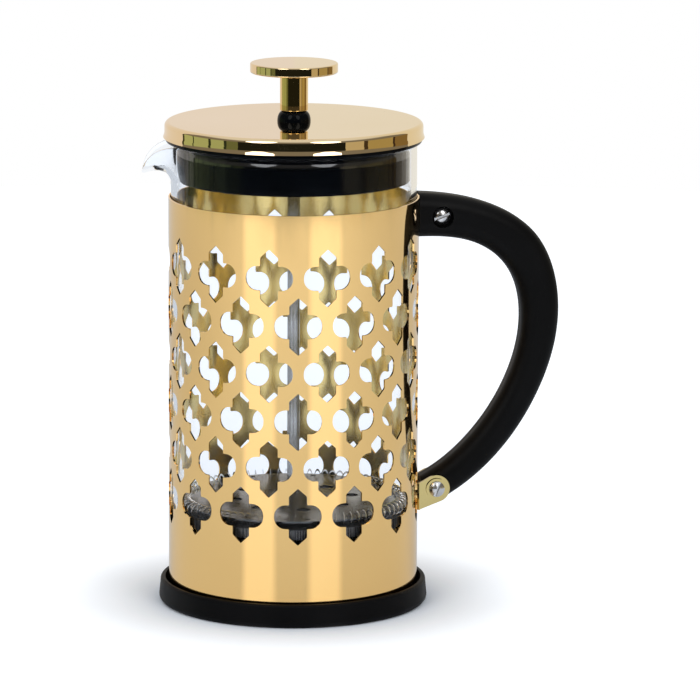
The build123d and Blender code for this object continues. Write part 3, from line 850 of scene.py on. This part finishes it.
def lamp_pools(tree, distance):
    """The two pools of lamp light painted on the table for mirrors alone, which the sleeve shows as upright
    bands.
    """
    way = add_node(tree, "ShaderNodeSeparateXYZ")
    turn = add_node(tree, "ShaderNodeVectorRotate", rotation_type="Z_AXIS")
    turn.inputs["Angle"].default_value = -CAMERA_BEARING - POOL_SHIFT
    link(tree, add_node(tree, "ShaderNodeTexCoord").outputs["Object"], turn.inputs["Vector"])
    link(tree, turn.outputs["Vector"], way.inputs["Vector"])
    side = calculate(tree, "ABSOLUTE", way.outputs["X"])
    edges = []
    for edge in (POOL_INNER, POOL_OUTER):
        across = calculate(tree, "MULTIPLY", side, math.cos(2 * edge))
        ahead = calculate(tree, "MULTIPLY", way.outputs["Y"], math.sin(2 * edge))
        off = calculate(tree, "ADD", calculate(tree, "ADD", across, ahead), SLEEVE_R * math.sin(edge))
        share = calculate(tree, "DIVIDE", off, distance)
        edges.append(remap(tree, share, -POOL_SOFT, POOL_SOFT, 0, 1))
    return calculate(tree, "MULTIPLY", calculate(tree, "SUBTRACT", edges[0], edges[1]), POOL_GLOW)


def make_floor():
    """The white table, lifted a little in tone away from the press by a glow, so that the shade by the press
    is painted contact shade; glass sees the glow dimmer, and mirrors see painted light of their own on it.
    """
    bm = bmesh.new()
    bmesh.ops.create_circle(bm, cap_ends=True, segments=TABLE_SIDES, radius=TABLE_R)
    mesh = bpy.data.meshes.new("floor")
    bm.to_mesh(mesh)
    bm.free()
    material = bpy.data.materials.new("floor_white")
    material.use_nodes = True
    tree = material.node_tree
    tree.nodes.remove(tree.nodes["Principled BSDF"])
    paint = add_node(tree, "ShaderNodeBsdfDiffuse")
    paint.inputs["Color"].default_value = TABLE_PAINT
    lift = add_node(tree, "ShaderNodeEmission")
    away = add_node(tree, "ShaderNodeVectorMath", operation="LENGTH")
    link(tree, add_node(tree, "ShaderNodeTexCoord").outputs["Object"], away.inputs[0])
    # Painted contact shade: the glow is nil at the tray's edge and full a short way out; farther out it grows
    # again
    near = remap(tree, away.outputs["Value"], TRAY_R, TRAY_R + CONTACT_SHADE, 0, TABLE_LIFT)
    far = remap(tree, away.outputs["Value"], *FAR_TABLE, 0, FAR_TABLE_LIFT - TABLE_LIFT)
    direct = calculate(tree, "ADD", near, far)
    through = calculate(tree, "MAXIMUM", calculate(tree, "SUBTRACT", direct, THROUGH_DIM), 0)
    # Painted reflections: mirrors see an extra glow on the outer table and the two painted pools of lamp
    # light
    outer = remap(tree, away.outputs["Value"], *MIRROR_REACH, 0, MIRROR_LIFT)
    mirrored = calculate(tree, "ADD", outer, lamp_pools(tree, away.outputs["Value"]))
    path = add_node(tree, "ShaderNodeLightPath")
    shares = [
        calculate(tree, "MULTIPLY", path.outputs["Is Camera Ray"], direct),
        calculate(tree, "MULTIPLY", path.outputs["Is Transmission Ray"], through),
        calculate(tree, "MULTIPLY", calculate(tree, "MAXIMUM", mirrored_rays(tree), 0), mirrored),
    ]
    total = calculate(tree, "ADD", calculate(tree, "ADD", shares[0], shares[1]), shares[2])
    link(tree, total, lift.inputs["Strength"])
    both = add_node(tree, "ShaderNodeAddShader")
    link(tree, paint.outputs[0], both.inputs[0])
    link(tree, lift.outputs[0], both.inputs[1])
    link(tree, both.outputs[0], tree.nodes["Material Output"].inputs["Surface"])
    mesh.materials.append(material)
    floor = bpy.data.objects.new("floor", mesh)
    bpy.context.collection.objects.link(floor)


def add_softbox(name, bearing, width):
    """An eight-sided soft lamp turned to the press; its bearing is in degrees from the camera's side."""
    bm = bmesh.new()
    half_side = TURN / (2 * LAMP_SIDES)
    bmesh.ops.create_circle(
        bm, cap_ends=True, segments=LAMP_SIDES, radius=0.5 / math.cos(half_side),
        matrix=Matrix.Rotation(half_side, 4, "Z"),
    )
    bmesh.ops.scale(bm, vec=(width, LAMP_TALL, 1), verts=bm.verts[:])
    bmesh.ops.reverse_faces(bm, faces=bm.faces[:])
    mesh = bpy.data.meshes.new(name)
    bm.to_mesh(mesh)
    bm.free()
    material = bpy.data.materials.new(name + "_cloth")
    material.use_nodes = True
    tree = material.node_tree
    tree.nodes.remove(tree.nodes["Principled BSDF"])
    cloth = add_node(tree, "ShaderNodeEmission")
    cloth.inputs["Strength"].default_value = LAMP_GLOW
    link(tree, cloth.outputs[0], tree.nodes["Material Output"].inputs["Surface"])
    mesh.materials.append(material)
    lamp = bpy.data.objects.new(name, mesh)
    bpy.context.collection.objects.link(lamp)
    angle = CAMERA_BEARING + math.radians(bearing)
    lamp.location = (LAMP_DISTANCE * math.sin(angle), -LAMP_DISTANCE * math.cos(angle), LAMP_HEIGHT)
    lamp.rotation_mode = "QUATERNION"
    lamp.rotation_quaternion = (Vector((0, 0, LAMP_AIM)) - lamp.location).to_track_quat("-Z", "Y")
    lamp.visible_camera = False


make_camera()
make_world()
make_floor()
add_softbox("left_softbox", -31.5, 0.66)
add_softbox("right_softbox", 31.0, 0.64)

bpy.context.scene.view_settings.view_transform = "Standard"
